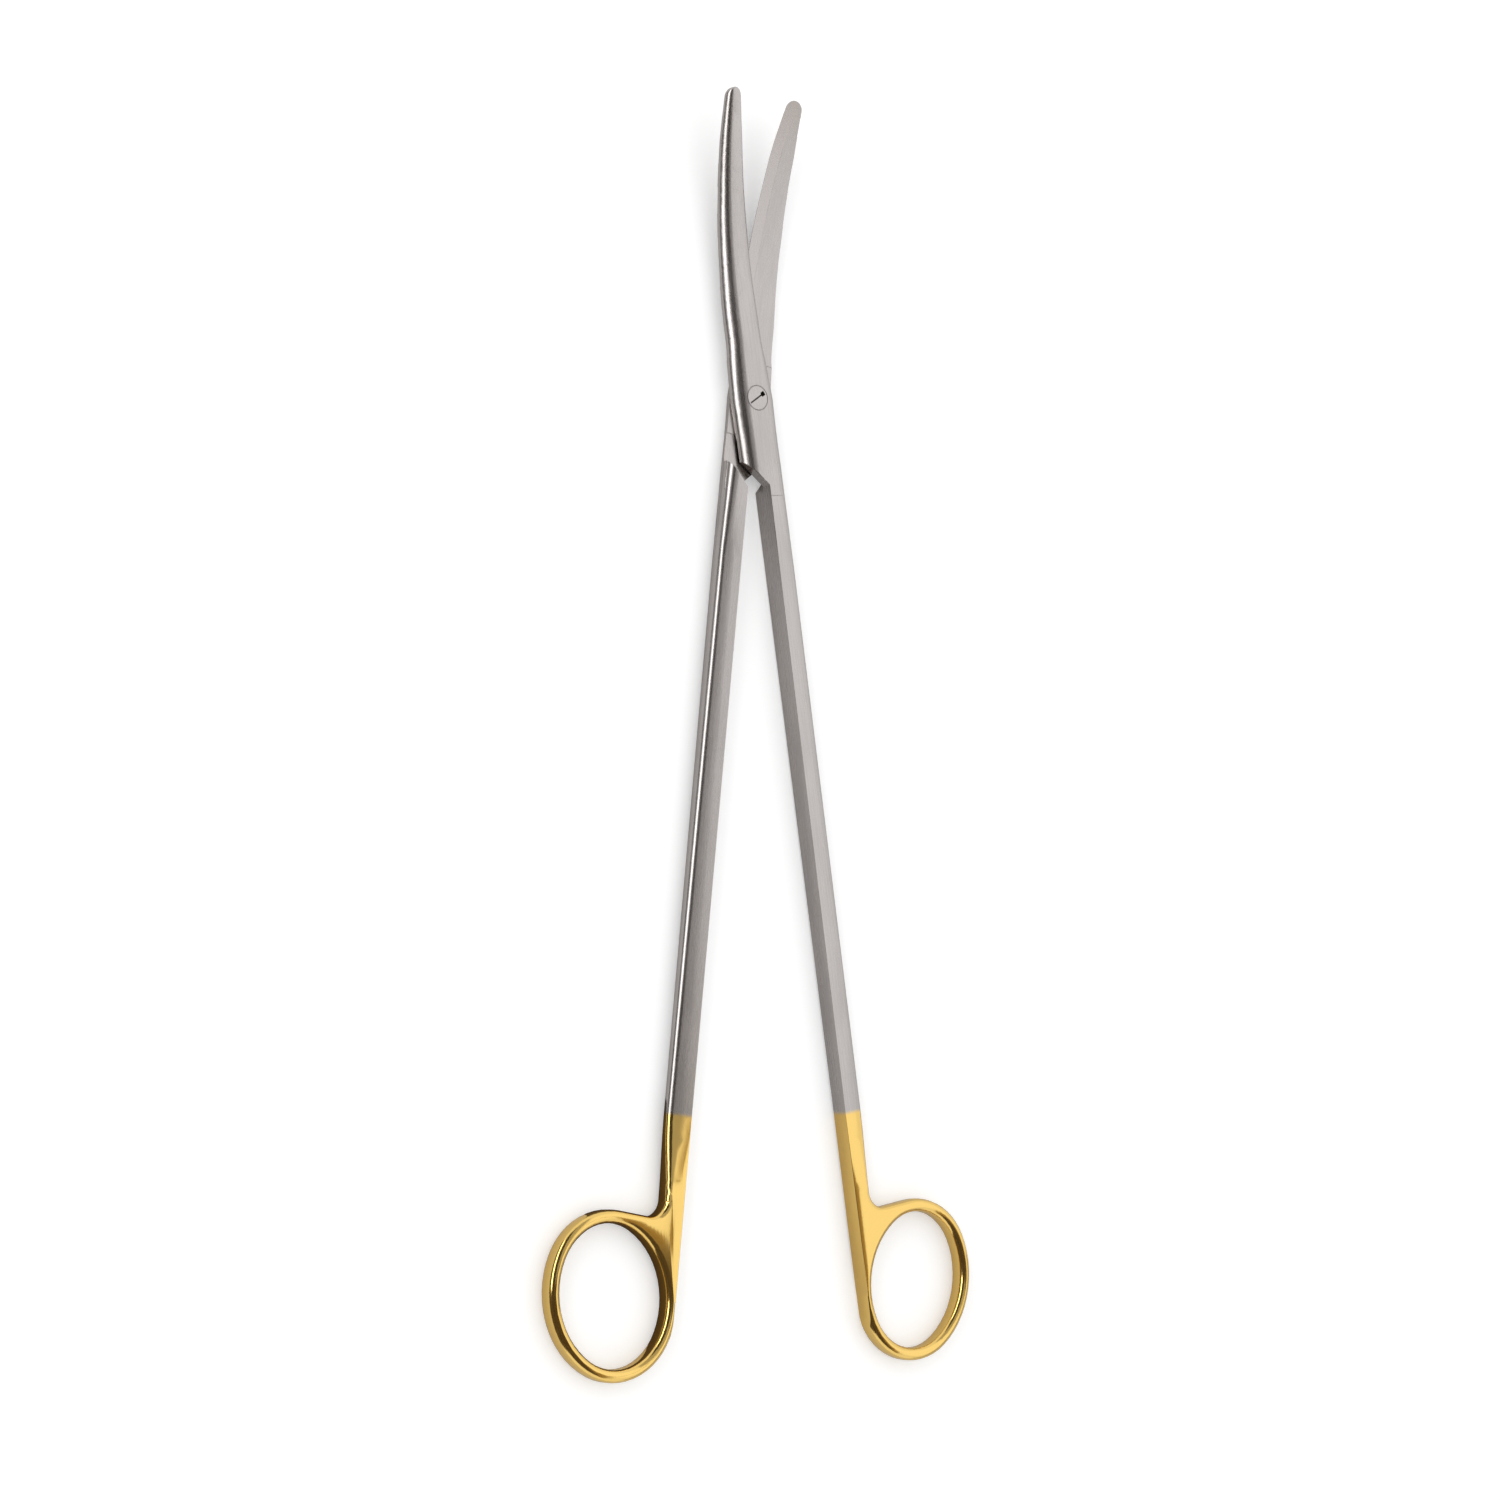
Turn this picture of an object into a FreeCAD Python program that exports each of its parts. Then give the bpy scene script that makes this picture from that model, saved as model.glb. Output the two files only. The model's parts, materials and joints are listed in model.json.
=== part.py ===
import FreeCAD, Part
import os
from math import asin, atan2, cos, radians, sin, sqrt

# Long curved dissecting scissors with ring handles and carbide cutting edges.
# Millimetres. The origin is on the pivot axis at the underside of the hinge,
# +Y runs along the scissors to the tips, +Z is up, on the side of the screw head.
# Each half is drawn closed, in its own frame: the mating plane is z = 0, the
# half's blade, lap and ring are at z > 0 and x > 0, and it is then turned open.

# Pose
opening_angle = 15.0

# Blades
blade_length = 66.7
root_half_width = 5.5
middle_half_width = 3.85
neck_half_width = 2.95
nose_radius = 2.2
middle_y = 40.0
neck_length = 9.7
curve_start_y = 20.0
curve_radius = 150.0
neck_thickness = 2.0
nose_thickness = 1.6
tip_thickness = 0.7
front_flat_share = 0.5
back_flat_share = 0.38
back_wall_share = 0.1
back_fullness = 0.42
bevel_fullness = 0.18
blade_clearance = 0.08

# Hard metal inserts
insert_start_y = 15.0
insert_width = 2.7
insert_depth = 0.9

# Hinge
hinge_half_height = 2.75
lap_start_y = -14.0
lap_start_half_width = 5.1
lap_outer_half_width = 5.45
land_half_length = 8.6
relief_depth = 0.2
lap_edge_y = -18.65
shoulder_y = -20.35

# Screw
screw_head_radius = 2.6
screw_head_height = 1.5
screw_shank_radius = 1.75
screw_running_clearance = 0.05
slot_width = 0.35
slot_depth = 0.8
slot_angle = 36.0
slot_reach = 2.3
lock_pit_size = 1.0
lock_pit_radius = 1.75
lock_pit_depth = 1.0

# Shanks: the crowned face runs from the inner facet to its outer edge
shank_width = 5.7
shank_face_width = 4.2
shank_face_drop = 0.59
shank_end_half_height = 2.05
shank_start_y = -36.0
shank_end_y = -155.0
facet_top_x = 0.35
facet_end_x = 0.15
shank_side_wall = 0.05
neck_width = 4.6

# Finger rings: centre, half axes of the centre line, lean of the long axis, and the radius
# of the rounded ends as a share of the half axis across
ring_width = 2.75
ring_edge_radius = 1.3
crotch_radius = 3.6
crotch_y = -176.9
ring_top_seat_y = -172.0
front_ring = {"x": 14.6, "y": -193.7, "across": 13.85, "along": 16.1, "roundness": 0.91, "lean": -21.5}
back_ring = {"x": 15.3, "y": -193.5, "across": 14.4, "along": 16.2, "roundness": 0.925, "lean": -23.0}

# Values that follow from the sizes above
UP = FreeCAD.Vector(0, 0, 1)
ALONG = FreeCAD.Vector(0, 1, 0)
ORIGIN = FreeCAD.Vector(0, 0, 0)
ROUND = 0.5523
FAR = 2 * (blade_length - shank_end_y)
REACH = 3 * root_half_width
MARGIN = 1.0
THINNING = 1.4
FLARE_STEPS = 5
RIM_STEPS = 3
LONG_BLADE_STEPS = 4
nose_y = blade_length - nose_radius
neck_y = blade_length - neck_length
lap_stations = [lap_start_y, lap_start_y / 2, 0.0, land_half_length / 2, land_half_length]
nose_angles = [0.0, 22.0, 42.0, 58.0, 71.0, 81.0]


def point(x, z, y):
    return FreeCAD.Vector(x, y, z)


def between(y, stations):
    """Straight interpolation through (y, value) pairs that rise in y."""
    if y <= stations[0][0]:
        return stations[0][1]
    for (low_y, low), (high_y, high) in zip(stations, stations[1:]):
        if y <= high_y:
            return low + (high - low) * (y - low_y) / (high_y - low_y)
    return stations[-1][1]


def rounded(start, corner, end, fullness=ROUND):
    """A side that leaves start and reaches end towards a shared corner."""
    curve = Part.BezierCurve()
    curve.setPoles([start, start + (corner - start) * fullness, end + (corner - end) * fullness, end])
    return curve.toShape()


def prism(corners, low_z, high_z):
    points = [FreeCAD.Vector(x, y, low_z) for x, y in corners]
    outline = Part.makePolygon(points + points[:1])
    return Part.Face(outline).extrude(UP * (high_z - low_z))


def rise(y, bend):
    """Height of the curved mating face above the mating plane."""
    if y <= curve_start_y:
        return 0.0
    return bend * (curve_radius - sqrt(curve_radius ** 2 - (y - curve_start_y) ** 2))


def half_height(y):
    return between(y, [(shank_end_y, shank_end_half_height), (lap_start_y, hinge_half_height)])


def blade_size(y):
    """Half width and thickness of the blade and lap at y."""
    width = between(y, [
        (lap_start_y, lap_start_half_width),
        (0.0, root_half_width),
        (middle_y, middle_half_width),
        (neck_y, neck_half_width),
        (nose_y, nose_radius),
    ])
    thickness = between(y, [(neck_y, neck_thickness), (nose_y, nose_thickness)])
    if y < neck_y:
        share = max(y - land_half_length, 0.0) / (neck_y - land_half_length)
        thickness = hinge_half_height - (hinge_half_height - neck_thickness) * share ** THINNING
    if y > nose_y:
        width = sqrt(nose_radius ** 2 - (y - nose_y) ** 2)
        thickness = tip_thickness + (nose_thickness - tip_thickness) * width / nose_radius
    return width, thickness


def blade_section(y, bend):
    """Wall and rounded back on the left, flat top, bevel down to the edge."""
    width, thickness = blade_size(y)
    base = rise(y, bend)
    top = base + thickness
    outer = between(y, [(lap_start_y, lap_outer_half_width), (0.0, width)])
    fullness = between(y, [(0.0, ROUND), (insert_start_y, bevel_fullness)])
    back_low = point(-width, base - MARGIN, y)
    back_high = point(-width, base + back_wall_share * thickness, y)
    flat_back = point(-back_flat_share * width, top, y)
    flat_edge = point(front_flat_share * width, top, y)
    edge = point(outer, base, y)
    edge_low = point(outer, base - MARGIN, y)
    return Part.Wire([
        Part.makeLine(back_low, back_high),
        rounded(back_high, point(-width, top, y), flat_back, back_fullness),
        Part.makeLine(flat_back, flat_edge),
        rounded(flat_edge, point(outer, top, y), edge, fullness),
        Part.makeLine(edge, edge_low),
        Part.makeLine(edge_low, back_low),
    ])


def lap(bend):
    return Part.makeLoft([blade_section(y, bend) for y in lap_stations], True, True)


def blade(bend):
    step = (middle_y - land_half_length) / LONG_BLADE_STEPS
    stations = [land_half_length + step * count for count in range(LONG_BLADE_STEPS)]
    stations += [middle_y, (middle_y + neck_y) / 2, neck_y, (neck_y + nose_y) / 2]
    stations += [nose_y + nose_radius * sin(radians(angle)) for angle in nose_angles]
    return Part.makeLoft([blade_section(y, bend) for y in stations], True, False)


def below_face(bend, offset):
    """Everything under the curved inner face, raised by offset."""
    radius = curve_radius - bend * offset
    centre_z = blade_clearance + bend * curve_radius
    span = asin((blade_length + REACH - curve_start_y) / radius)

    def on_curve(angle):
        return point(-REACH, centre_z - bend * radius * cos(angle), curve_start_y + radius * sin(angle))

    start = point(-REACH, blade_clearance + offset, land_half_length)
    end = on_curve(span)
    low_start = point(-REACH, -FAR, land_half_length)
    low_end = point(-REACH, -FAR, end.y)
    outline = Part.Wire([
        Part.makeLine(start, on_curve(0)),
        Part.Arc(on_curve(0), on_curve(span / 2), end).toShape(),
        Part.makeLine(end, low_end),
        Part.makeLine(low_end, low_start),
        Part.makeLine(low_start, start),
    ])
    return Part.Face(outline).extrude(FreeCAD.Vector(2 * REACH, 0, 0))


def insert_strip(bend):
    """The strip along the cutting edge that the hard metal insert fills."""
    outline = [(blade_size(y)[0] - insert_width, y) for y in (insert_start_y, middle_y, neck_y, nose_y)]
    tip_x = outline[-1][0]
    past_tip = blade_length + MARGIN
    outline += [(tip_x, past_tip), (REACH, past_tip), (REACH, insert_start_y)]
    return prism(outline, -FAR, FAR).common(below_face(bend, insert_depth))


def shank_section(y, width, face, drop, height, wall):
    """Flat inner side, crowned front and back, and a rounded outer side."""
    inner = -shank_face_width / 2
    corner_height = height - drop * width / face

    def crown(up):
        curve = Part.BezierCurve()
        middle = point(face / 2, up * (height - drop / 4), y)
        curve.setPoles([point(0.0, up * height, y), middle, point(face, up * (height - drop), y)])
        return curve.toShape()

    def outer_side(up):
        edge = point(face, up * (height - drop), y)
        return rounded(edge, point(width, up * corner_height, y), point(width, up * wall, y))

    return Part.Wire([
        Part.makeLine(point(inner, -height, y), point(inner, height, y)),
        Part.makeLine(point(inner, height, y), point(0.0, height, y)),
        crown(1),
        outer_side(1),
        Part.makeLine(point(width, wall, y), point(width, -wall, y)),
        outer_side(-1),
        crown(-1),
        Part.makeLine(point(0.0, -height, y), point(inner, -height, y)),
    ])


def shank():
    """Long taper from the lap, then a flare into the ring's plate."""
    lap_face = front_flat_share * lap_outer_half_width
    sections = [
        shank_section(y, shank_width, shank_face_width, shank_face_drop, half_height(y), shank_side_wall)
        for y in (shank_end_y, shank_start_y)
    ]
    sections.append(shank_section(
        lap_start_y, lap_outer_half_width, lap_face, 0.0, hinge_half_height, shank_side_wall))
    straight = Part.makeLoft(sections, True, True)
    height = shank_end_half_height
    end_face = neck_width - ring_edge_radius
    end_wall = height - ring_edge_radius
    flare_length = ring_top_seat_y - crotch_radius / 2 - shank_end_y
    flare = []
    for step in range(FLARE_STEPS + 1):
        share = step / FLARE_STEPS
        ease = share * share * (3 - 2 * share)
        flare.append(shank_section(
            shank_end_y + flare_length * share,
            shank_width + (neck_width - shank_width) * ease,
            shank_face_width + (end_face - shank_face_width) * ease,
            shank_face_drop * (1 - ease),
            height,
            shank_side_wall + (end_wall - shank_side_wall) * ease,
        ))
    return straight.fuse(Part.makeLoft(flare, True, False))


def leaned(ring, x, y):
    """A point given in the ring's own axes, in the half's frame."""
    lean = radians(ring["lean"])
    return ring["x"] + x * cos(lean) - y * sin(lean), ring["y"] + x * sin(lean) + y * cos(lean)


def end_radius(ring):
    """Radius of the centre line at the ring's upper and lower end."""
    return ring["roundness"] * ring["across"]


def oval(ring, offset, z):
    """Four-arc oval along the ring's centre line, moved out by offset."""
    across, along, end = ring["across"], ring["along"], end_radius(ring)
    side = (along ** 2 - 2 * along * end + across ** 2) / (2 * (across - end))
    joint_angle = atan2(along - end, side - across)
    joint_x = (end + offset) * cos(joint_angle)
    joint_y = along - end + (end + offset) * sin(joint_angle)

    def at(x, y):
        return FreeCAD.Vector(*leaned(ring, x, y), z)

    corners = [at(joint_x, joint_y), at(-joint_x, joint_y), at(-joint_x, -joint_y), at(joint_x, -joint_y)]
    wide = across + offset
    long = along + offset
    middles = [at(0.0, long), at(-wide, 0.0), at(0.0, -long), at(wide, 0.0)]
    return Part.Wire([
        Part.Arc(corner, middle, after).toShape()
        for corner, middle, after in zip(corners, middles, corners[1:] + corners[:1])
    ])


def rim_levels():
    """Inset and height of each level of the rounded rims, from the underside to the top."""
    upper = []
    for step in range(RIM_STEPS + 1):
        turn = radians(90 * step / RIM_STEPS)
        inset = ring_edge_radius * (1 - cos(turn))
        upper.append((inset, shank_end_half_height - ring_edge_radius * (1 - sin(turn))))
    return [(inset, -z) for inset, z in reversed(upper)] + upper


def web(ring, inset, z):
    """Outline of the web, moved in by inset: from the shank's end through the crotch to the ring.

    The crotch's upper edge ends on the ring's upper arc as a tangent of it.
    """
    left = -shank_face_width / 2 - ring_edge_radius + inset
    top = ring_top_seat_y + ring_edge_radius - inset
    end_x, end_y = leaned(ring, 0.0, ring["along"] - end_radius(ring))
    radius = end_radius(ring) + ring_width / 2
    distance = sqrt((end_x - neck_width) ** 2 + (end_y - crotch_y) ** 2)
    heading = atan2(end_y - crotch_y, end_x - neck_width) + asin(radius / distance)
    upward = FreeCAD.Vector(-sin(heading), cos(heading), 0)
    bisector = (upward + FreeCAD.Vector(1, 0, 0)).normalize()
    rise_to_centre = crotch_radius * (1 + sin(heading)) / cos(heading)
    centre = FreeCAD.Vector(neck_width + crotch_radius, crotch_y + rise_to_centre, z)
    reach = crotch_radius + inset
    corners = [
        centre - upward * reach,
        FreeCAD.Vector(end_x, end_y, z) + upward * (radius - inset),
        FreeCAD.Vector(ring["x"], ring["y"], z),
        FreeCAD.Vector(left, ring["y"], z),
        FreeCAD.Vector(left, top, z),
        FreeCAD.Vector(neck_width - inset, top, z),
        FreeCAD.Vector(neck_width - inset, centre.y, z),
    ]
    sides = [Part.makeLine(start, end) for start, end in zip(corners, corners[1:])]
    crotch = Part.Arc(corners[-1], centre - bisector * reach, corners[0]).toShape()
    return Part.Wire(sides + [crotch])


def finger_ring(ring):
    """Ring and web as a plate whose edges are rounded in narrow bands."""
    outer = []
    bridge = []
    hole = []
    for inset, z in rim_levels():
        outer.append(oval(ring, ring_width / 2 - inset, z))
        bridge.append(web(ring, inset, z))
        hole.append(oval(ring, inset - ring_width / 2, z))
    inset = ring_edge_radius - ring_width / 2
    reach = shank_end_half_height + MARGIN
    hole = [oval(ring, inset, -reach)] + hole + [oval(ring, inset, reach)]
    body = Part.makeLoft(outer, True, True).fuse(Part.makeLoft(bridge, True, True))
    return body.cut(Part.makeLoft(hole, True, True))


def trim_outline():
    """Everything left of the inner facet and below the diagonal lap edge."""
    return prism([
        (-REACH, -FAR),
        (facet_end_x, -FAR),
        (facet_end_x, shank_end_y),
        (facet_top_x, lap_edge_y - facet_top_x),
        (-REACH, lap_edge_y + REACH),
    ], -FAR, FAR)


def lap_space(low_y, high_z):
    """Space above the diagonal shoulder that the other half's lap runs in."""
    return prism([
        (-REACH, shoulder_y - REACH),
        (REACH, shoulder_y + REACH),
        (REACH, low_y),
        (-REACH, low_y),
    ], -FAR, high_z)


def wing():
    """The lap's left side, between the shank and the start of the blade."""
    sections = []
    for y in (shoulder_y - MARGIN, lap_start_y):
        section = blade_section(lap_start_y, 0)
        section.translate(ALONG * (y - lap_start_y))
        section.translate(UP * (half_height(y) - hinge_half_height))
        sections.append(section)
    return Part.makeLoft(sections, True, True)


def steel_half(bend, ring):
    body = shank().fuse(finger_ring(ring))
    body = body.fuse([wing(), lap(bend), blade(bend)])
    body = body.cut([
        trim_outline(),
        lap_space(land_half_length, 0.0),
        lap_space(-land_half_length, relief_depth),
        below_face(bend, 0.0),
    ])
    return body.removeSplitter()


def place(shape, side):
    """Front half: side 1. Back half: side -1, turned over about Y."""
    placed = shape.copy()
    if side < 0:
        placed.rotate(ORIGIN, ALONG, 180)
    placed.rotate(ORIGIN, UP, side * opening_angle / 2)
    placed.translate(UP * hinge_half_height)
    return placed


def cylinder(radius, low_z, high_z):
    return Part.makeCylinder(radius, high_z - low_z, FreeCAD.Vector(0, 0, low_z))


def front_screw_hole():
    seat_z = hinge_half_height - screw_head_height - screw_running_clearance
    shank_hole = cylinder(screw_shank_radius + screw_running_clearance, -FAR, FAR)
    head_hole = cylinder(screw_head_radius + screw_running_clearance, seat_z, FAR)
    return shank_hole.fuse(head_hole)


def back_screw_hole():
    return cylinder(screw_shank_radius, -FAR, FAR)


def pivot_screw():
    top = hinge_half_height
    screw = cylinder(screw_shank_radius, -hinge_half_height, top)
    screw = screw.fuse(cylinder(screw_head_radius, top - screw_head_height, top))
    slot = Part.makeBox(
        slot_reach + lock_pit_radius, slot_width, slot_depth,
        FreeCAD.Vector(-slot_reach, -slot_width / 2, top - slot_depth))
    pit = Part.makeBox(
        lock_pit_size, lock_pit_size, lock_pit_depth,
        FreeCAD.Vector(lock_pit_radius - lock_pit_size / 2, -lock_pit_size / 2, top - lock_pit_depth))
    for cutter in (slot, pit):
        cutter.rotate(ORIGIN, UP, slot_angle)
        screw = screw.cut(cutter)
    screw.translate(UP * hinge_half_height)
    return screw


def half(side, ring, hole):
    """The forged steel half and its insert, placed at the opening angle."""
    steel = steel_half(side, ring).cut(hole)
    strip = insert_strip(side)
    insert = steel.common(strip)
    steel = steel.cut(strip)
    return place(steel, side), place(insert, side)


front_half, front_blade_insert = half(1, front_ring, front_screw_hole())
back_half, back_blade_insert = half(-1, back_ring, back_screw_hole())

nodes = {
    "front_half": front_half,
    "back_half": back_half,
    "front_blade_insert": front_blade_insert,
    "back_blade_insert": back_blade_insert,
    "pivot_screw": pivot_screw(),
}

os.makedirs("parts", exist_ok=True)
for name, shape in nodes.items():
    box = shape.BoundBox
    print(name, "valid", shape.isValid(), "solids", len(shape.Solids), "mm3", round(shape.Volume, 2),
          "x", round(box.XMin, 2), round(box.XMax, 2), "y", round(box.YMin, 2), round(box.YMax, 2),
          "z", round(box.ZMin, 2), round(box.ZMax, 2))
    shape.exportStep("parts/" + name + ".step")
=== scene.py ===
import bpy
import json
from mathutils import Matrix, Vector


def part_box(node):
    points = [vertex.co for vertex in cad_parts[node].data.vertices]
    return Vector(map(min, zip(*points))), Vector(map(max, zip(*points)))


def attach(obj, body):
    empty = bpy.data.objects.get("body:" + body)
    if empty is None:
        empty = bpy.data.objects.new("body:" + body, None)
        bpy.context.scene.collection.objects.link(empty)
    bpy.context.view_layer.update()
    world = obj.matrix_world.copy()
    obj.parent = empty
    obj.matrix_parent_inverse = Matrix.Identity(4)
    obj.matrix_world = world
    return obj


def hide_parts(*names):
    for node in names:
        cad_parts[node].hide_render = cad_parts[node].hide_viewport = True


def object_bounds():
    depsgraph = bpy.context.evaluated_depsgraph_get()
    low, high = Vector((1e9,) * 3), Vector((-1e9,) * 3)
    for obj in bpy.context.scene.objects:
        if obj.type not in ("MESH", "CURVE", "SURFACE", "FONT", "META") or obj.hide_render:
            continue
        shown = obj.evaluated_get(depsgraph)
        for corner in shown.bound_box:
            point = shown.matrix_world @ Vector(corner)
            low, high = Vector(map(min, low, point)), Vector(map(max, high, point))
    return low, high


bl_info = {
    "name": "Surgical Scissors Looks",
    "version": (1, 0, 0),
    "blender": (4, 5, 0),
    "location": "View3D > Sidebar > Scissors",
    "description": "Finishes a pair of ring-handled scissors and sets up its studio",
    "category": "Object",
}

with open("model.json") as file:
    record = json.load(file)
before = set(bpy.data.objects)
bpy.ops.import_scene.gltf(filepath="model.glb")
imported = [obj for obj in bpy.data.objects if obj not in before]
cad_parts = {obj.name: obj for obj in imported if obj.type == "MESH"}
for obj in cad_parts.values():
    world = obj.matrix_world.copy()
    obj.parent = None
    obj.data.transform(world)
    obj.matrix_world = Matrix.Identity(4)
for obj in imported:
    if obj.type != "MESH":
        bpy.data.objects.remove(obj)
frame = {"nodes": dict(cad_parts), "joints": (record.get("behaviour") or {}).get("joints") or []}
cad_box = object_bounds()

import json
import math
from collections import namedtuple

import bmesh
import bpy
from mathutils import Matrix, Vector
from mathutils.bvhtree import BVHTree
from mathutils.kdtree import KDTree

MM = 0.001

# The halves lie open at rest by as much as the pivot can close
PIVOT = frame["joints"][0]
HALF_OPENING = -math.radians(PIVOT["range_deg"][0]) / 2
SCREW_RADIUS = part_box("pivot_screw")[1].x
SCREW_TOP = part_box("pivot_screw")[1].z
HINGE_HEIGHT = SCREW_TOP / 2

# Along a half, from the pivot: the blade rises on an arc from the curve's start towards the tip, and
# the ring lies behind its own start
CURVE_START = 20.0 * MM
CURVE_RADIUS = 150.0 * MM
RINGS_START = -166.0 * MM

# Skins: points this close are one, faces this level are one, and edges sharper than this are broken
TOUCHING = 0.002 * MM
FLAT_ANGLE = math.radians(0.6)
SHARP_ANGLE = math.radians(38.0)
BEVEL_STEPS = 2

# A skin's normals are averaged over a patch of this radius, drawn out along the half by the stretch.
# A corner keeps its own face's normal where what lies level with it fills more than this share.
PATCH = 0.5 * MM
PATCH_STRETCH = 9.0
FLAT_SHARE = 0.45

# Noise scales per metre. The stretch is below 1 for marks that are drawn out along a half.
STROKE_SCALE = 2600.0
STROKE_STRETCH = 0.03
STROKE_ROUGHNESS = 0.08
CLOUD_SCALE = 140.0
CLOUD_STRETCH = 0.4
CLOUD_ROUGHNESS = 0.04
GRAIN_SCALE = 9000.0
RIPPLE_SCALE = 160.0
RIPPLE_ROUGHNESS = 0.06
PLATING_EDGE_SCALE = 900.0
PLATING_EDGE_WAVER = 0.5

# The steel's shade turns to its colour between two levels of strokes and clouds together
SHADE_LEVEL = 0.3
COLOUR_LEVEL = 0.7

# Relief of the metals: its depth, what makes it on steel, and how strong it is
RELIEF_DEPTH = 0.02 * MM
STROKE_RELIEF = 0.6
GRAIN_RELIEF = 0.4
FORGING_RELIEF = 0.07
SMALL_PIECE_RELIEF = 0.06

# Painted shade, partly grime, in the line round the screw's head, and painted shade in its slot and
# pit. The slot's painted shade fades out upwards between two depths below the head's top.
SEAM_SHADE_BLUR = 0.02 * MM
SEAM_SHADE_STRENGTH = 0.8
SHADE_BLUR = 0.1 * MM
SLOT_SHADE_FADE_START = 0.35 * MM
SLOT_SHADE_FADE_END = 0.08 * MM
SLOT_SHADE_STRENGTH = 0.85

# Studio, in metres and degrees. Lamps and boards stand square to the scissors, at an angle from
# straight above towards the left, at a reach from the line along the scissors' middle.
Lamp = namedtuple("Lamp", "name angle reach middle width length")
STRIP_LAMP = Lamp("strip_lamp", 53.0, 1.0, 0.443, 0.28, 1.2)
KEY_LAMP = Lamp("key_lamp", -40.0, 1.1, -0.07, 0.8, 1.6)

PAINTS = {
    "black_board": (0.05, 0.046, 0.042, 1.0),
    "grey_board": (0.5, 0.49, 0.48, 1.0),
    "brown_board": (0.085, 0.06, 0.035, 1.0),
    "tan_board": (0.36, 0.24, 0.07, 1.0),
    "pale_card": (0.62, 0.61, 0.6, 1.0),
}
PAPER_ROUGHNESS = 0.9

Board = namedtuple("Board", "name paint angle reach width start end")
BOARDS = (
    Board("board_low", "black_board", 79.0, 1.15, 0.46, -1.57, 1.43),
    Board("board_high", "black_board", 24.0, 1.15, 0.8, -1.57, 1.43),
    Board("board_middle", "grey_board", -8.0, 1.15, 0.5, -1.57, 1.43),
    Board("ring_board_low", "brown_board", 63.5, 1.05, 1.14, -1.6, -0.165),
    Board("ring_board_high", "brown_board", 4.0, 1.05, 1.26, -1.6, -0.15),
    Board("ring_board_middle", "tan_board", -27.5, 1.08, 0.17, -1.6, -0.13),
    Board("ring_board_right", "grey_board", -80.0, 1.05, 0.5, -1.6, -0.165),
)

# Cards on the floor, which darken the metal's lower walls
Card = namedtuple("Card", "name paint width length across along height")
CARDS = (
    Card("table_card", "pale_card", 0.6, 0.47, 0.0, -0.115, 0.1 * MM),
    Card("ring_table_card", "brown_board", 0.023, 0.05, -0.0335, -0.175, 0.2 * MM),
)
FLOOR_SIZE = 30.0

# Width of the camera's sensor, in millimetres like its lens
SENSOR_WIDTH = 36.0


class Value:
    """A number in a shader. Operators on it add Math nodes."""

    def __init__(self, shader, socket):
        self.shader = shader
        self.socket = socket

    def __add__(self, other):
        return self.shader.math("ADD", self, other)

    def __sub__(self, other):
        return self.shader.math("SUBTRACT", self, other)

    def __rsub__(self, other):
        return self.shader.math("SUBTRACT", other, self)

    def __mul__(self, other):
        return self.shader.math("MULTIPLY", self, other)

    __radd__ = __add__
    __rmul__ = __mul__


class Shader:
    """The node graph of one material or of the world."""

    def __init__(self, owner):
        owner.use_nodes = True
        self.owner = owner
        self.tree = owner.node_tree
        self.tree.nodes.clear()

    def add(self, kind, settings, inputs, output=0):
        """Adds a node: its settings first, then its sockets' values or links."""
        node = self.tree.nodes.new(kind)
        for name, value in settings.items():
            setattr(node, name, value)
        for name, value in inputs.items():
            if isinstance(value, Value):
                self.tree.links.new(value.socket, node.inputs[name])
            else:
                node.inputs[name].default_value = value
        return Value(self, node.outputs[output]) if len(node.outputs) else node

    def math(self, operation, *values):
        return self.add("ShaderNodeMath", {"operation": operation}, dict(enumerate(values)))

    def mix_colour(self, factor, first, second):
        """Colour between two: the first at factor 0, the second at 1."""
        settings = {"data_type": "RGBA"}
        inputs = {0: factor, 6: first, 7: second}
        return self.add("ShaderNodeMix", settings, inputs, output=2)

    def step(self, value, start, end):
        """0 before start, 1 after end, smooth between them."""
        settings = {"interpolation_type": "SMOOTHSTEP"}
        inputs = {"Value": value, "From Min": start, "From Max": end}
        return self.add("ShaderNodeMapRange", settings, inputs)

    def vector(self, x, y, z):
        return self.add("ShaderNodeCombineXYZ", {}, {"X": x, "Y": y, "Z": z})

    def noise(self, vector, scale, detail=2.0):
        """Noise between 0 and 1, with a half as its mean."""
        inputs = {"Vector": vector, "Scale": scale, "Detail": detail}
        return self.add("ShaderNodeTexNoise", {"noise_dimensions": "3D"}, inputs)

    def place(self):
        """Object coordinates in metres, as three values."""
        point = self.add("ShaderNodeTexCoord", {}, {}, output="Object")
        return [
            self.add("ShaderNodeSeparateXYZ", {}, {"Vector": point}, output=axis)
            for axis in "XYZ"
        ]

    def light_path(self, kind):
        return self.add("ShaderNodeLightPath", {}, {}, output=kind)

    def finish_surface(self, settings):
        """Ends the material in one Principled surface."""
        surface = self.add("ShaderNodeBsdfPrincipled", {}, settings)
        self.add("ShaderNodeOutputMaterial", {}, {"Surface": surface})

    def finish_metal(self, colour, roughness, relief, strength):
        """Ends the material as a metal with a fine relief."""
        bump = self.add("ShaderNodeBump", {}, {
            "Strength": strength,
            "Distance": RELIEF_DEPTH,
            "Height": relief,
        })
        self.finish_surface({
            "Base Color": colour,
            "Metallic": 1.0,
            "Roughness": roughness,
            "Normal": bump,
        })


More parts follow.
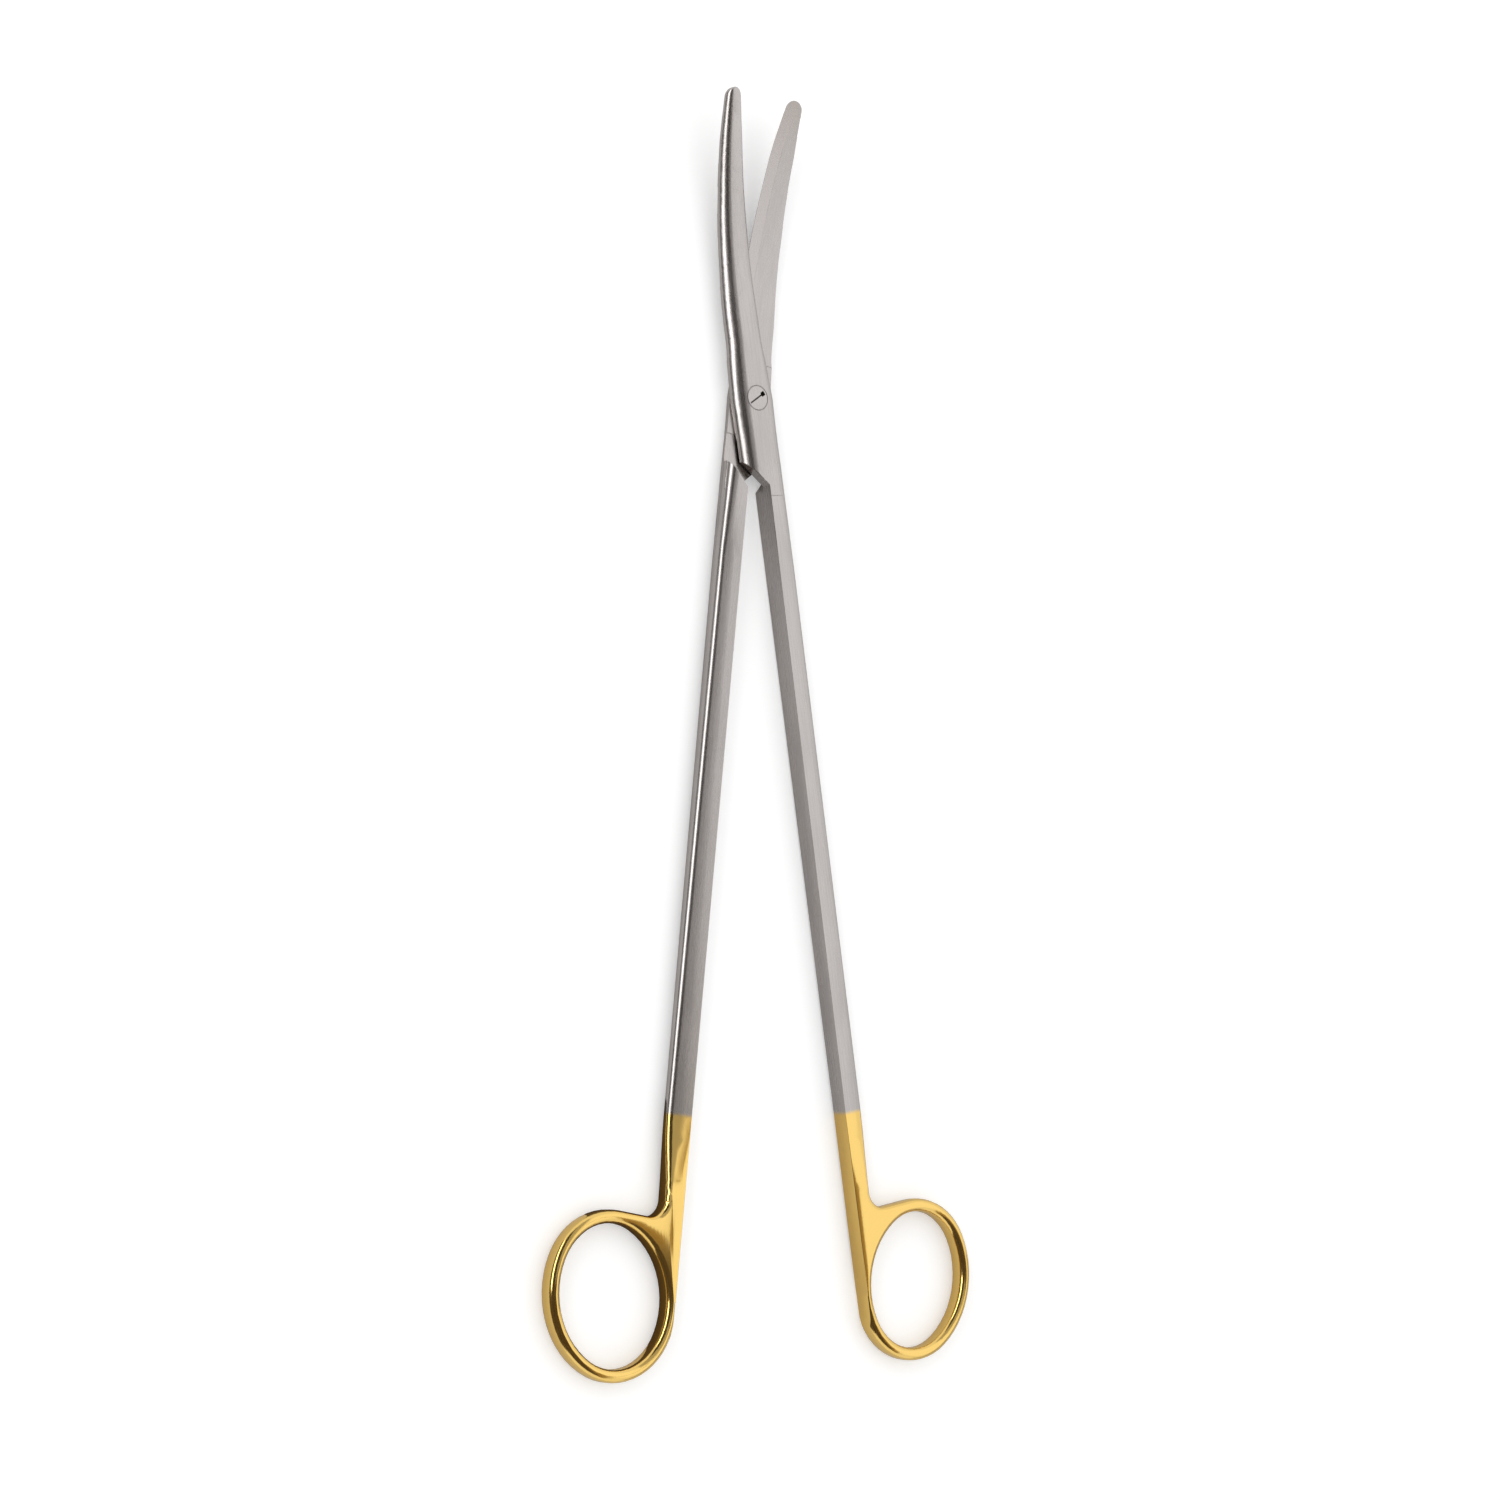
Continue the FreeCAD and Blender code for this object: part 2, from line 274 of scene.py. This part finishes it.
class ScissorsFinish(bpy.types.PropertyGroup):
    """Colours and finishes of the metals."""

    steel_colour: bpy.props.FloatVectorProperty(
        name="Steel", description="Colour of the satin steel", subtype="COLOR", size=4,
        min=0.0, max=1.0, default=(0.585, 0.55, 0.535, 1.0))
    steel_shade: bpy.props.FloatVectorProperty(
        name="Steel shade", description="Darker tone of the grinding marks", subtype="COLOR", size=4,
        min=0.0, max=1.0, default=(0.51, 0.48, 0.465, 1.0))
    steel_roughness: bpy.props.FloatProperty(
        name="Steel roughness", description="Roughness of the satin steel",
        default=0.27, min=0.0, max=1.0)
    gold_colour: bpy.props.FloatVectorProperty(
        name="Gold", description="Colour of the gold plating", subtype="COLOR", size=4,
        min=0.0, max=1.0, default=(0.98, 0.67, 0.205, 1.0))
    gold_roughness: bpy.props.FloatProperty(
        name="Gold roughness", description="Roughness of the polished plating",
        default=0.14, min=0.0, max=1.0)
    plating_start: bpy.props.FloatProperty(
        name="Plating start", description="Where the gold starts, behind the pivot", unit="LENGTH",
        default=-155.3 * MM)
    plating_blur: bpy.props.FloatProperty(
        name="Plating blur", description="Length over which the gold fades in", unit="LENGTH",
        default=0.8 * MM, min=0.0)
    hard_metal_colour: bpy.props.FloatVectorProperty(
        name="Hard metal", description="Colour of the brazed cutting strips", subtype="COLOR",
        size=4, min=0.0, max=1.0, default=(0.60, 0.555, 0.545, 1.0))
    own_tone: bpy.props.FloatProperty(
        name="Own tone", description="Share of their own colour in the strips and the screw",
        subtype="FACTOR", default=0.6, min=0.0, max=1.0)
    edge_radius: bpy.props.FloatProperty(
        name="Edge radius", description="How much the forgings' sharp edges are broken",
        unit="LENGTH", default=0.12 * MM, min=0.0)
    # Colour of the painted shade, partly grime, round the screw's head, and of the painted shade in
    # its slot
    painted_shade_colour: bpy.props.FloatVectorProperty(
        name="Seam", description="Dirt in the line round the screw's head and in its slot",
        subtype="COLOR", size=4, min=0.0, max=1.0, default=(0.12, 0.11, 0.1, 1.0))
    seam_radius: bpy.props.FloatProperty(
        name="Seam radius", description="Radius of the line round the screw's head",
        unit="LENGTH", default=SCREW_RADIUS + 0.03 * MM, min=0.0)
    seam_width: bpy.props.FloatProperty(
        name="Seam width", description="Width of the line round the screw's head",
        unit="LENGTH", default=0.28 * MM, min=0.0)
    slot_depth: bpy.props.FloatProperty(
        name="Slot depth", description="How deep the screw's slot and pit are darkened",
        unit="LENGTH", default=1.3 * MM, min=0.0)


class ScissorsStudio(bpy.types.PropertyGroup):
    """Camera, lamps and floor."""

    view_lean: bpy.props.FloatProperty(
        name="View lean", description="How far the camera leans to the left of straight above",
        subtype="ANGLE", default=math.radians(37.41))
    view_pitch: bpy.props.FloatProperty(
        name="View pitch", description="How far the camera leans back towards the rings",
        subtype="ANGLE", default=math.radians(6.136))
    view_roll: bpy.props.FloatProperty(
        name="View roll", description="Turn of the picture", subtype="ANGLE",
        default=math.radians(-1.129))
    view_distance: bpy.props.FloatProperty(
        name="View distance", description="From the camera to the middle of the picture",
        unit="LENGTH", default=719.9 * MM)
    view_middle: bpy.props.FloatProperty(
        name="View middle", description="From the pivot down to the middle of the picture",
        unit="LENGTH", default=75.8 * MM)
    lens: bpy.props.FloatProperty(
        name="Lens", description="Focal length in millimetres", default=79.77)
    strip_power: bpy.props.FloatProperty(
        name="Strip lamp", description="Power of the narrow lamp on the left", unit="POWER",
        default=2.7, min=0.0)
    key_power: bpy.props.FloatProperty(
        name="Key lamp", description="Power of the wide lamp on the right", unit="POWER",
        default=0.65, min=0.0)
    surround_level: bpy.props.FloatProperty(
        name="Surround", description="Brightness of the white surround", default=0.85, min=0.0)
    floor_colour: bpy.props.FloatVectorProperty(
        name="Floor", description="Colour of the floor", subtype="COLOR", size=4,
        min=0.0, max=1.0, default=(0.82, 0.82, 0.82, 1.0))
    floor_lift: bpy.props.FloatProperty(
        name="Floor lift", description="Brightness added to the floor where it is seen",
        default=0.3, min=0.0)


def own_place(shader, side):
    """Coordinates in a half's own frame, with its shank along Y. Side is 1 for the front half."""
    x, y, z = shader.place()
    turn_cos = math.cos(HALF_OPENING)
    turn_sin = side * math.sin(HALF_OPENING)
    across = (x * turn_cos + y * turn_sin) * side
    along = y * turn_cos - x * turn_sin
    return across, along, z


def satin_steel(shader, finish, across, along, height):
    """Colour, roughness and relief of steel ground and blasted along its length."""
    drawn_out = shader.vector(across, along * STROKE_STRETCH, height)
    strokes = shader.noise(drawn_out, STROKE_SCALE, detail=3.0)
    clouds = shader.noise(shader.vector(across, along * CLOUD_STRETCH, height), CLOUD_SCALE)
    grain = shader.noise(shader.vector(across, along, height), GRAIN_SCALE, detail=1.0)
    tone = shader.step((strokes + clouds) * 0.5, SHADE_LEVEL, COLOUR_LEVEL)
    colour = shader.mix_colour(tone, tuple(finish.steel_shade), tuple(finish.steel_colour))
    change = (strokes - 0.5) * STROKE_ROUGHNESS + (clouds - 0.5) * CLOUD_ROUGHNESS
    relief = strokes * STROKE_RELIEF + grain * GRAIN_RELIEF
    return colour, finish.steel_roughness + change, relief


def screw_seam_shade(shader, finish, height):
    """How much painted shade, partly grime, covers the surface: on a thin line round the screw's
    head, and 0 elsewhere.
    """
    x, y, _ = shader.place()
    radius = shader.math("SQRT", x * x + y * y)
    start = finish.seam_radius
    outside = shader.step(radius, start - SEAM_SHADE_BLUR, start)
    past = shader.step(radius, start, start + finish.seam_width)
    upper = shader.step(height, HINGE_HEIGHT, HINGE_HEIGHT + SHADE_BLUR)
    return outside * (1 - past) * upper * SEAM_SHADE_STRENGTH


def slot_shade(shader, finish, height):
    """How much painted shade covers the walls of the slot and the pit in the screw's head."""
    bottom = SCREW_TOP - finish.slot_depth
    above = shader.step(height, bottom, bottom + SHADE_BLUR)
    clean = shader.step(height, SCREW_TOP - SLOT_SHADE_FADE_START, SCREW_TOP - SLOT_SHADE_FADE_END)
    return above * (1 - clean) * SLOT_SHADE_STRENGTH


def half_material(name, side, finish):
    """Satin steel that turns to polished gold plating at the handle end."""
    shader = Shader(bpy.data.materials.new(name))
    across, along, height = own_place(shader, side)
    steel, steel_roughness, relief = satin_steel(shader, finish, across, along, height)
    point = shader.vector(across, along, height)
    waver = shader.noise(point, PLATING_EDGE_SCALE) * finish.plating_blur * PLATING_EDGE_WAVER
    start = finish.plating_start
    past = shader.step(along + waver, start - finish.plating_blur / 2, start + finish.plating_blur)
    gold = 1 - past
    ripple = shader.noise(point, RIPPLE_SCALE)
    gold_roughness = finish.gold_roughness + (ripple - 0.5) * RIPPLE_ROUGHNESS
    colour = shader.mix_colour(gold, steel, tuple(finish.gold_colour))
    # Painted shade, partly grime, in a thin line round the screw's head
    seam_shade = screw_seam_shade(shader, finish, height)
    colour = shader.mix_colour(seam_shade, colour, tuple(finish.painted_shade_colour))
    roughness = steel_roughness * past + gold_roughness * gold
    shader.finish_metal(colour, roughness, relief * past + ripple * gold, FORGING_RELIEF)
    return shader.owner


def small_piece_material(name, side, finish, base, slotted=False):
    """Satin steel with no plating, in a tone of its own. A slotted head has painted shade in its
    slot.
    """
    shader = Shader(bpy.data.materials.new(name))
    across, along, height = own_place(shader, side)
    steel, roughness, relief = satin_steel(shader, finish, across, along, height)
    colour = shader.mix_colour(finish.own_tone, steel, tuple(base))
    if slotted:
        # Painted shade in the slot and pit of the screw's head
        slot_shading = slot_shade(shader, finish, height)
        colour = shader.mix_colour(slot_shading, colour, tuple(finish.painted_shade_colour))
    shader.finish_metal(colour, roughness, relief, SMALL_PIECE_RELIEF)
    return shader.owner


def dress(node, material):
    """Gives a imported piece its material."""
    mesh = frame["nodes"][node].data
    mesh.materials.clear()
    mesh.materials.append(material)


def surface_tree(node):
    """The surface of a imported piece, for finding the nearest point on it."""
    work = bmesh.new()
    work.from_mesh(frame["nodes"][node].data)
    tree = BVHTree.FromBMesh(work)
    work.free()
    return tree


def unbent(point, side):
    """A point in its half's own frame, the blade's curve taken out and the length shortened."""
    turn_sin = side * math.sin(HALF_OPENING)
    across = point.x * math.cos(HALF_OPENING) + point.y * turn_sin
    along = point.y * math.cos(HALF_OPENING) - point.x * turn_sin
    past = max(along - CURVE_START, 0.0)
    height = point.z - CURVE_RADIUS + math.sqrt(CURVE_RADIUS ** 2 - past ** 2)
    return Vector((across, along / PATCH_STRETCH, height))


def surface_samples(node, side):
    """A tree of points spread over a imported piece, with each one's normal and share of area."""
    mesh = frame["nodes"][node].data
    samples = []
    for face in mesh.polygons:
        first, second, third = [mesh.vertices[index].co for index in face.vertices]
        ends = [unbent(corner, side) for corner in (first, second, third)]
        longest = max((ends[index] - ends[index - 1]).length for index in range(3))
        steps = max(1, math.ceil(longest / (PATCH / 2)))
        share = face.area / steps ** 2
        for row in range(steps):
            for column in range(steps - row):
                u = (row + 1 / 3) / steps
                v = (column + 1 / 3) / steps
                place = first + (second - first) * u + (third - first) * v
                samples.append((place, face.normal.copy(), share))
    tree = KDTree(len(samples))
    for index, (place, _, _) in enumerate(samples):
        tree.insert(unbent(place, side), index)
    tree.balance()
    return tree, samples


def patch_normal(place, face, tree, samples):
    """Normal of the surface round a place on a face, without what turns away from it sharply."""
    near = []
    for _, index, distance in tree.find_range(place, PATCH):
        _, normal, share = samples[index]
        if normal.dot(face.normal) > math.cos(SHARP_ANGLE):
            near.append((normal, share * (1.0 - (distance / PATCH) ** 2)))
    level = sum(weight for normal, weight in near if normal.dot(face.normal) > math.cos(FLAT_ANGLE))
    if level > FLAT_SHARE * sum(weight for _, weight in near):
        return face.normal.copy()
    return sum((normal * weight for normal, weight in near), Vector()).normalized()


def even_normals(mesh, node, side, rims):
    """Corner normals of a skin: averaged over a patch on the steel, and plain on the rings.

    A rim is a face of a broken edge, and takes the normals of the faces beside it.
    """
    tree, samples = surface_samples(node, side)
    normals = [corner.vector.copy() for corner in mesh.corner_normals]
    at_vertex = {}
    for face in mesh.polygons:
        if face.index in rims:
            continue
        for loop, vertex in zip(face.loop_indices, face.vertices):
            place = unbent(mesh.vertices[vertex].co, side)
            if place.y * PATCH_STRETCH > RINGS_START:
                normal = patch_normal(place, face, tree, samples)
                if normal.length > 0:
                    normals[loop] = normal
            at_vertex.setdefault(vertex, []).append(normals[loop])
    for face in mesh.polygons:
        if face.index in rims:
            for loop, vertex in zip(face.loop_indices, face.vertices):
                if vertex in at_vertex:
                    normals[loop] = max(at_vertex[vertex], key=face.normal.dot)
    return normals


def edges_to_break(work, trees, radius):
    """Sharp edges between faces that are wide enough, clear of the surfaces in trees."""
    narrowest = radius / 3

    def free(edge):
        ends = [vertex.co for vertex in edge.verts]
        clear = all(min(tree.find_nearest(end)[3] for end in ends) > radius for tree in trees)
        wide = all(
            2 * face.calc_area() > face.calc_perimeter() * narrowest for face in edge.link_faces)
        return clear and wide

    return [
        edge for edge in work.edges
        if edge.is_manifold and edge.calc_face_angle(0.0) > SHARP_ANGLE and free(edge)
    ]


def softened(node, side, keep_clear, radius):
    """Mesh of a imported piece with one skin, its sharp edges broken by a small radius.

    Edges that lie on one of the pieces in keep_clear stay sharp, so that the joint stays closed.
    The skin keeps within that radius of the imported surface, and inside the box of the whole part.
    """
    work = bmesh.new()
    work.from_mesh(frame["nodes"][node].data)
    bmesh.ops.remove_doubles(work, verts=work.verts, dist=TOUCHING)
    bmesh.ops.dissolve_limit(work, angle_limit=FLAT_ANGLE, verts=work.verts, edges=work.edges)
    trees = [surface_tree(other) for other in keep_clear]
    rounded = bmesh.ops.bevel(
        work, geom=edges_to_break(work, trees, radius), offset=radius, offset_type="OFFSET",
        segments=BEVEL_STEPS, profile=0.5, affect="EDGES", clamp_overlap=False)
    work.verts.index_update()
    work.faces.index_update()
    rims = {face.index for face in rounded["faces"]}
    own_tree = surface_tree(node)
    places = []
    for vertex in work.verts:
        nearest, _, _, distance = own_tree.find_nearest(vertex.co)
        place = nearest if distance > radius else vertex.co
        places.append([min(max(value, low), high) for value, low, high in zip(place, *cad_box)])
    faces = [[vertex.index for vertex in face.verts] for face in work.faces]
    work.free()
    mesh = bpy.data.meshes.new(node + "_skin")
    mesh.from_pydata(places, [], faces)
    mesh.shade_smooth()
    mesh.set_sharp_from_angle(angle=SHARP_ANGLE)
    mesh.normals_split_custom_set(even_normals(mesh, node, side, rims))
    return mesh


def forge(node, side, name, keep_clear, radius, material):
    """Stands a softened copy of a packed half in its place. Side is 1 for the front half."""
    piece = bpy.data.objects.new(name, softened(node, side, keep_clear, radius))
    bpy.context.scene.collection.objects.link(piece)
    piece.data.materials.append(material)
    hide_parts(node)
    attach(piece, "front" if side > 0 else "back")


def direction(degrees):
    """Direction square to the scissors, at an angle from straight above towards the left."""
    angle = math.radians(degrees)
    return Vector((-math.sin(angle), 0.0, math.cos(angle)))


def stood(right, up, back, place):
    """Matrix of an object at a place, with these directions as its X, Y and Z axes."""
    matrix = Matrix((right, up, back)).transposed().to_4x4()
    matrix.translation = place
    return matrix


def facing(place, target):
    """Matrix that looks from place at target, with its own Y axis along the scissors."""
    back = (place - target).normalized()
    right = Vector((0.0, 1.0, 0.0)).cross(back).normalized()
    return stood(right, back.cross(right), back, place)


def add_camera(studio):
    """The photograph's camera."""
    lean, pitch, roll = studio.view_lean, studio.view_pitch, studio.view_roll
    flat = math.cos(pitch)
    back = Vector((-math.sin(lean) * flat, -math.sin(pitch), math.cos(lean) * flat))
    level = Vector((math.cos(lean), 0.0, math.sin(lean)))
    above = back.cross(level)
    right = math.cos(roll) * level + math.sin(roll) * above
    up = math.cos(roll) * above - math.sin(roll) * level
    aim = Vector((0.0, 0.0, HINGE_HEIGHT)) - up * studio.view_middle
    camera = bpy.data.cameras.new("camera")
    camera.lens = studio.lens
    camera.sensor_width = SENSOR_WIDTH
    holder = bpy.data.objects.new("camera", camera)
    holder.matrix_world = stood(right, up, back, aim + back * studio.view_distance)
    bpy.context.scene.collection.objects.link(holder)
    bpy.context.scene.camera = holder


def add_surround(studio):
    """Even white light from all round."""
    world = bpy.data.worlds.new("surround")
    bpy.context.scene.world = world
    shader = Shader(world)
    sky = shader.add("ShaderNodeBackground", {}, {
        "Color": (1.0, 1.0, 1.0, 1.0),
        "Strength": studio.surround_level,
    })
    shader.add("ShaderNodeOutputWorld", {}, {"Surface": sky})


def add_lamp(lamp, power):
    """A flat lamp that faces the line along the scissors' middle."""
    light = bpy.data.lights.new(lamp.name, "AREA")
    light.shape = "RECTANGLE"
    light.size = lamp.width
    light.size_y = lamp.length
    light.energy = power
    centre = Vector((0.0, lamp.middle, 0.0))
    holder = bpy.data.objects.new(lamp.name, light)
    holder.matrix_world = facing(centre + direction(lamp.angle) * lamp.reach, centre)
    bpy.context.scene.collection.objects.link(holder)


def add_plane(name, width, length, matrix, material):
    """A flat sheet of the studio, which isn't part of the scissors."""
    mesh = bpy.data.meshes.new(name)
    corners = [
        (-width / 2, -length / 2, 0),
        (width / 2, -length / 2, 0),
        (width / 2, length / 2, 0),
        (-width / 2, length / 2, 0),
    ]
    mesh.from_pydata(corners, [], [(0, 1, 2, 3)])
    mesh.materials.append(material)
    plane = bpy.data.objects.new(name, mesh)
    plane.matrix_world = matrix
    bpy.context.scene.collection.objects.link(plane)
    return plane


def only_reflected(sheet):
    """Hides a board or card from everything but reflections."""
    sheet.visible_camera = False
    sheet.visible_diffuse = False
    sheet.visible_shadow = False


def paint(name, colour):
    """A plain paper or board for the studio."""
    shader = Shader(bpy.data.materials.new(name))
    shader.finish_surface({"Base Color": colour, "Roughness": PAPER_ROUGHNESS})
    return shader.owner


def add_boards():
    """Boards round the scissors and cards on the floor, for the metal to mirror."""
    paints = {name: paint(name, colour) for name, colour in PAINTS.items()}
    for board in BOARDS:
        centre = Vector((0.0, (board.start + board.end) / 2, 0.0))
        matrix = facing(centre + direction(board.angle) * board.reach, centre)
        length = board.end - board.start
        only_reflected(add_plane(board.name, board.width, length, matrix, paints[board.paint]))
    for card in CARDS:
        matrix = Matrix.Translation((card.across, card.along, card.height))
        only_reflected(add_plane(card.name, card.width, card.length, matrix, paints[card.paint]))


def floor_paper(studio):
    """Pale paper that shows as white, also in the metal, and keeps the shadow."""
    shader = Shader(bpy.data.materials.new("floor_paper"))
    seen = (
        shader.light_path("Is Camera Ray")
        + shader.light_path("Is Glossy Ray")
        + shader.light_path("Is Transmission Ray")
    )
    lift = seen * studio.floor_lift
    shader.finish_surface({
        "Base Color": tuple(studio.floor_colour),
        "Roughness": PAPER_ROUGHNESS,
        "Emission Color": shader.add("ShaderNodeCombineColor", {}, {0: lift, 1: lift, 2: lift}),
        "Emission Strength": 1.0,
    })
    return shader.owner


class SCISSORS_OT_front_half(bpy.types.Operator):
    """Finish the front half: satin steel blade and shank, gold ring"""

    bl_idname = "scissors.front_half"
    bl_label = "Front Half"

    def execute(self, context):
        finish = context.scene.scissors_finish
        material = half_material("front_half_finish", 1, finish)
        forge("front_half", 1, "front_forging", ["front_blade_insert"], finish.edge_radius,
              material)
        return {"FINISHED"}


class SCISSORS_OT_back_half(bpy.types.Operator):
    """Finish the back half: satin steel blade and shank, gold ring"""

    bl_idname = "scissors.back_half"
    bl_label = "Back Half"

    def execute(self, context):
        finish = context.scene.scissors_finish
        material = half_material("back_half_finish", -1, finish)
        forge("back_half", -1, "back_forging", ["back_blade_insert"], finish.edge_radius,
              material)
        return {"FINISHED"}


class SCISSORS_OT_blade_inserts(bpy.types.Operator):
    """Finish the two brazed cutting strips"""

    bl_idname = "scissors.blade_inserts"
    bl_label = "Blade Inserts"

    def execute(self, context):
        finish = context.scene.scissors_finish
        for node, side in (("front_blade_insert", 1), ("back_blade_insert", -1)):
            name = node + "_finish"
            material = small_piece_material(name, side, finish, finish.hard_metal_colour)
            dress(node, material)
        return {"FINISHED"}


class SCISSORS_OT_pivot_screw(bpy.types.Operator):
    """Finish the pivot screw"""

    bl_idname = "scissors.pivot_screw"
    bl_label = "Pivot Screw"

    def execute(self, context):
        finish = context.scene.scissors_finish
        name = "pivot_screw_finish"
        material = small_piece_material(name, 1, finish, finish.steel_colour, slotted=True)
        dress("pivot_screw", material)
        return {"FINISHED"}


class SCISSORS_OT_stage(bpy.types.Operator):
    """Set up the camera, the surround, the lamps, the boards and the floor"""

    bl_idname = "scissors.stage"
    bl_label = "Stage"

    def execute(self, context):
        studio = context.scene.scissors_studio
        context.scene.view_settings.view_transform = "Standard"
        add_camera(studio)
        add_surround(studio)
        add_lamp(STRIP_LAMP, studio.strip_power)
        add_lamp(KEY_LAMP, studio.key_power)
        add_boards()
        add_plane("floor", FLOOR_SIZE, FLOOR_SIZE, Matrix.Identity(4), floor_paper(studio))
        return {"FINISHED"}


class SCISSORS_PT_panel(bpy.types.Panel):
    """Lists the steps that finish the scissors"""

    bl_idname = "SCISSORS_PT_panel"
    bl_label = "Scissors"
    bl_space_type = "VIEW_3D"
    bl_region_type = "UI"
    bl_category = "Scissors"

    def draw(self, context):
        for step in STEPS:
            self.layout.operator(step.bl_idname)


STEPS = (
    SCISSORS_OT_front_half,
    SCISSORS_OT_back_half,
    SCISSORS_OT_blade_inserts,
    SCISSORS_OT_pivot_screw,
    SCISSORS_OT_stage,
)
CLASSES = (ScissorsFinish, ScissorsStudio, *STEPS, SCISSORS_PT_panel)


def register():
    for each in CLASSES:
        bpy.utils.register_class(each)
    bpy.types.Scene.scissors_finish = bpy.props.PointerProperty(type=ScissorsFinish)
    bpy.types.Scene.scissors_studio = bpy.props.PointerProperty(type=ScissorsStudio)


def unregister():
    del bpy.types.Scene.scissors_studio
    del bpy.types.Scene.scissors_finish
    for each in reversed(CLASSES):
        bpy.utils.unregister_class(each)


def main():
    register()
    bpy.ops.scissors.front_half()
    bpy.ops.scissors.back_half()
    bpy.ops.scissors.blade_inserts()
    bpy.ops.scissors.pivot_screw()
    bpy.ops.scissors.stage()


if __name__ == "__main__":
    main()
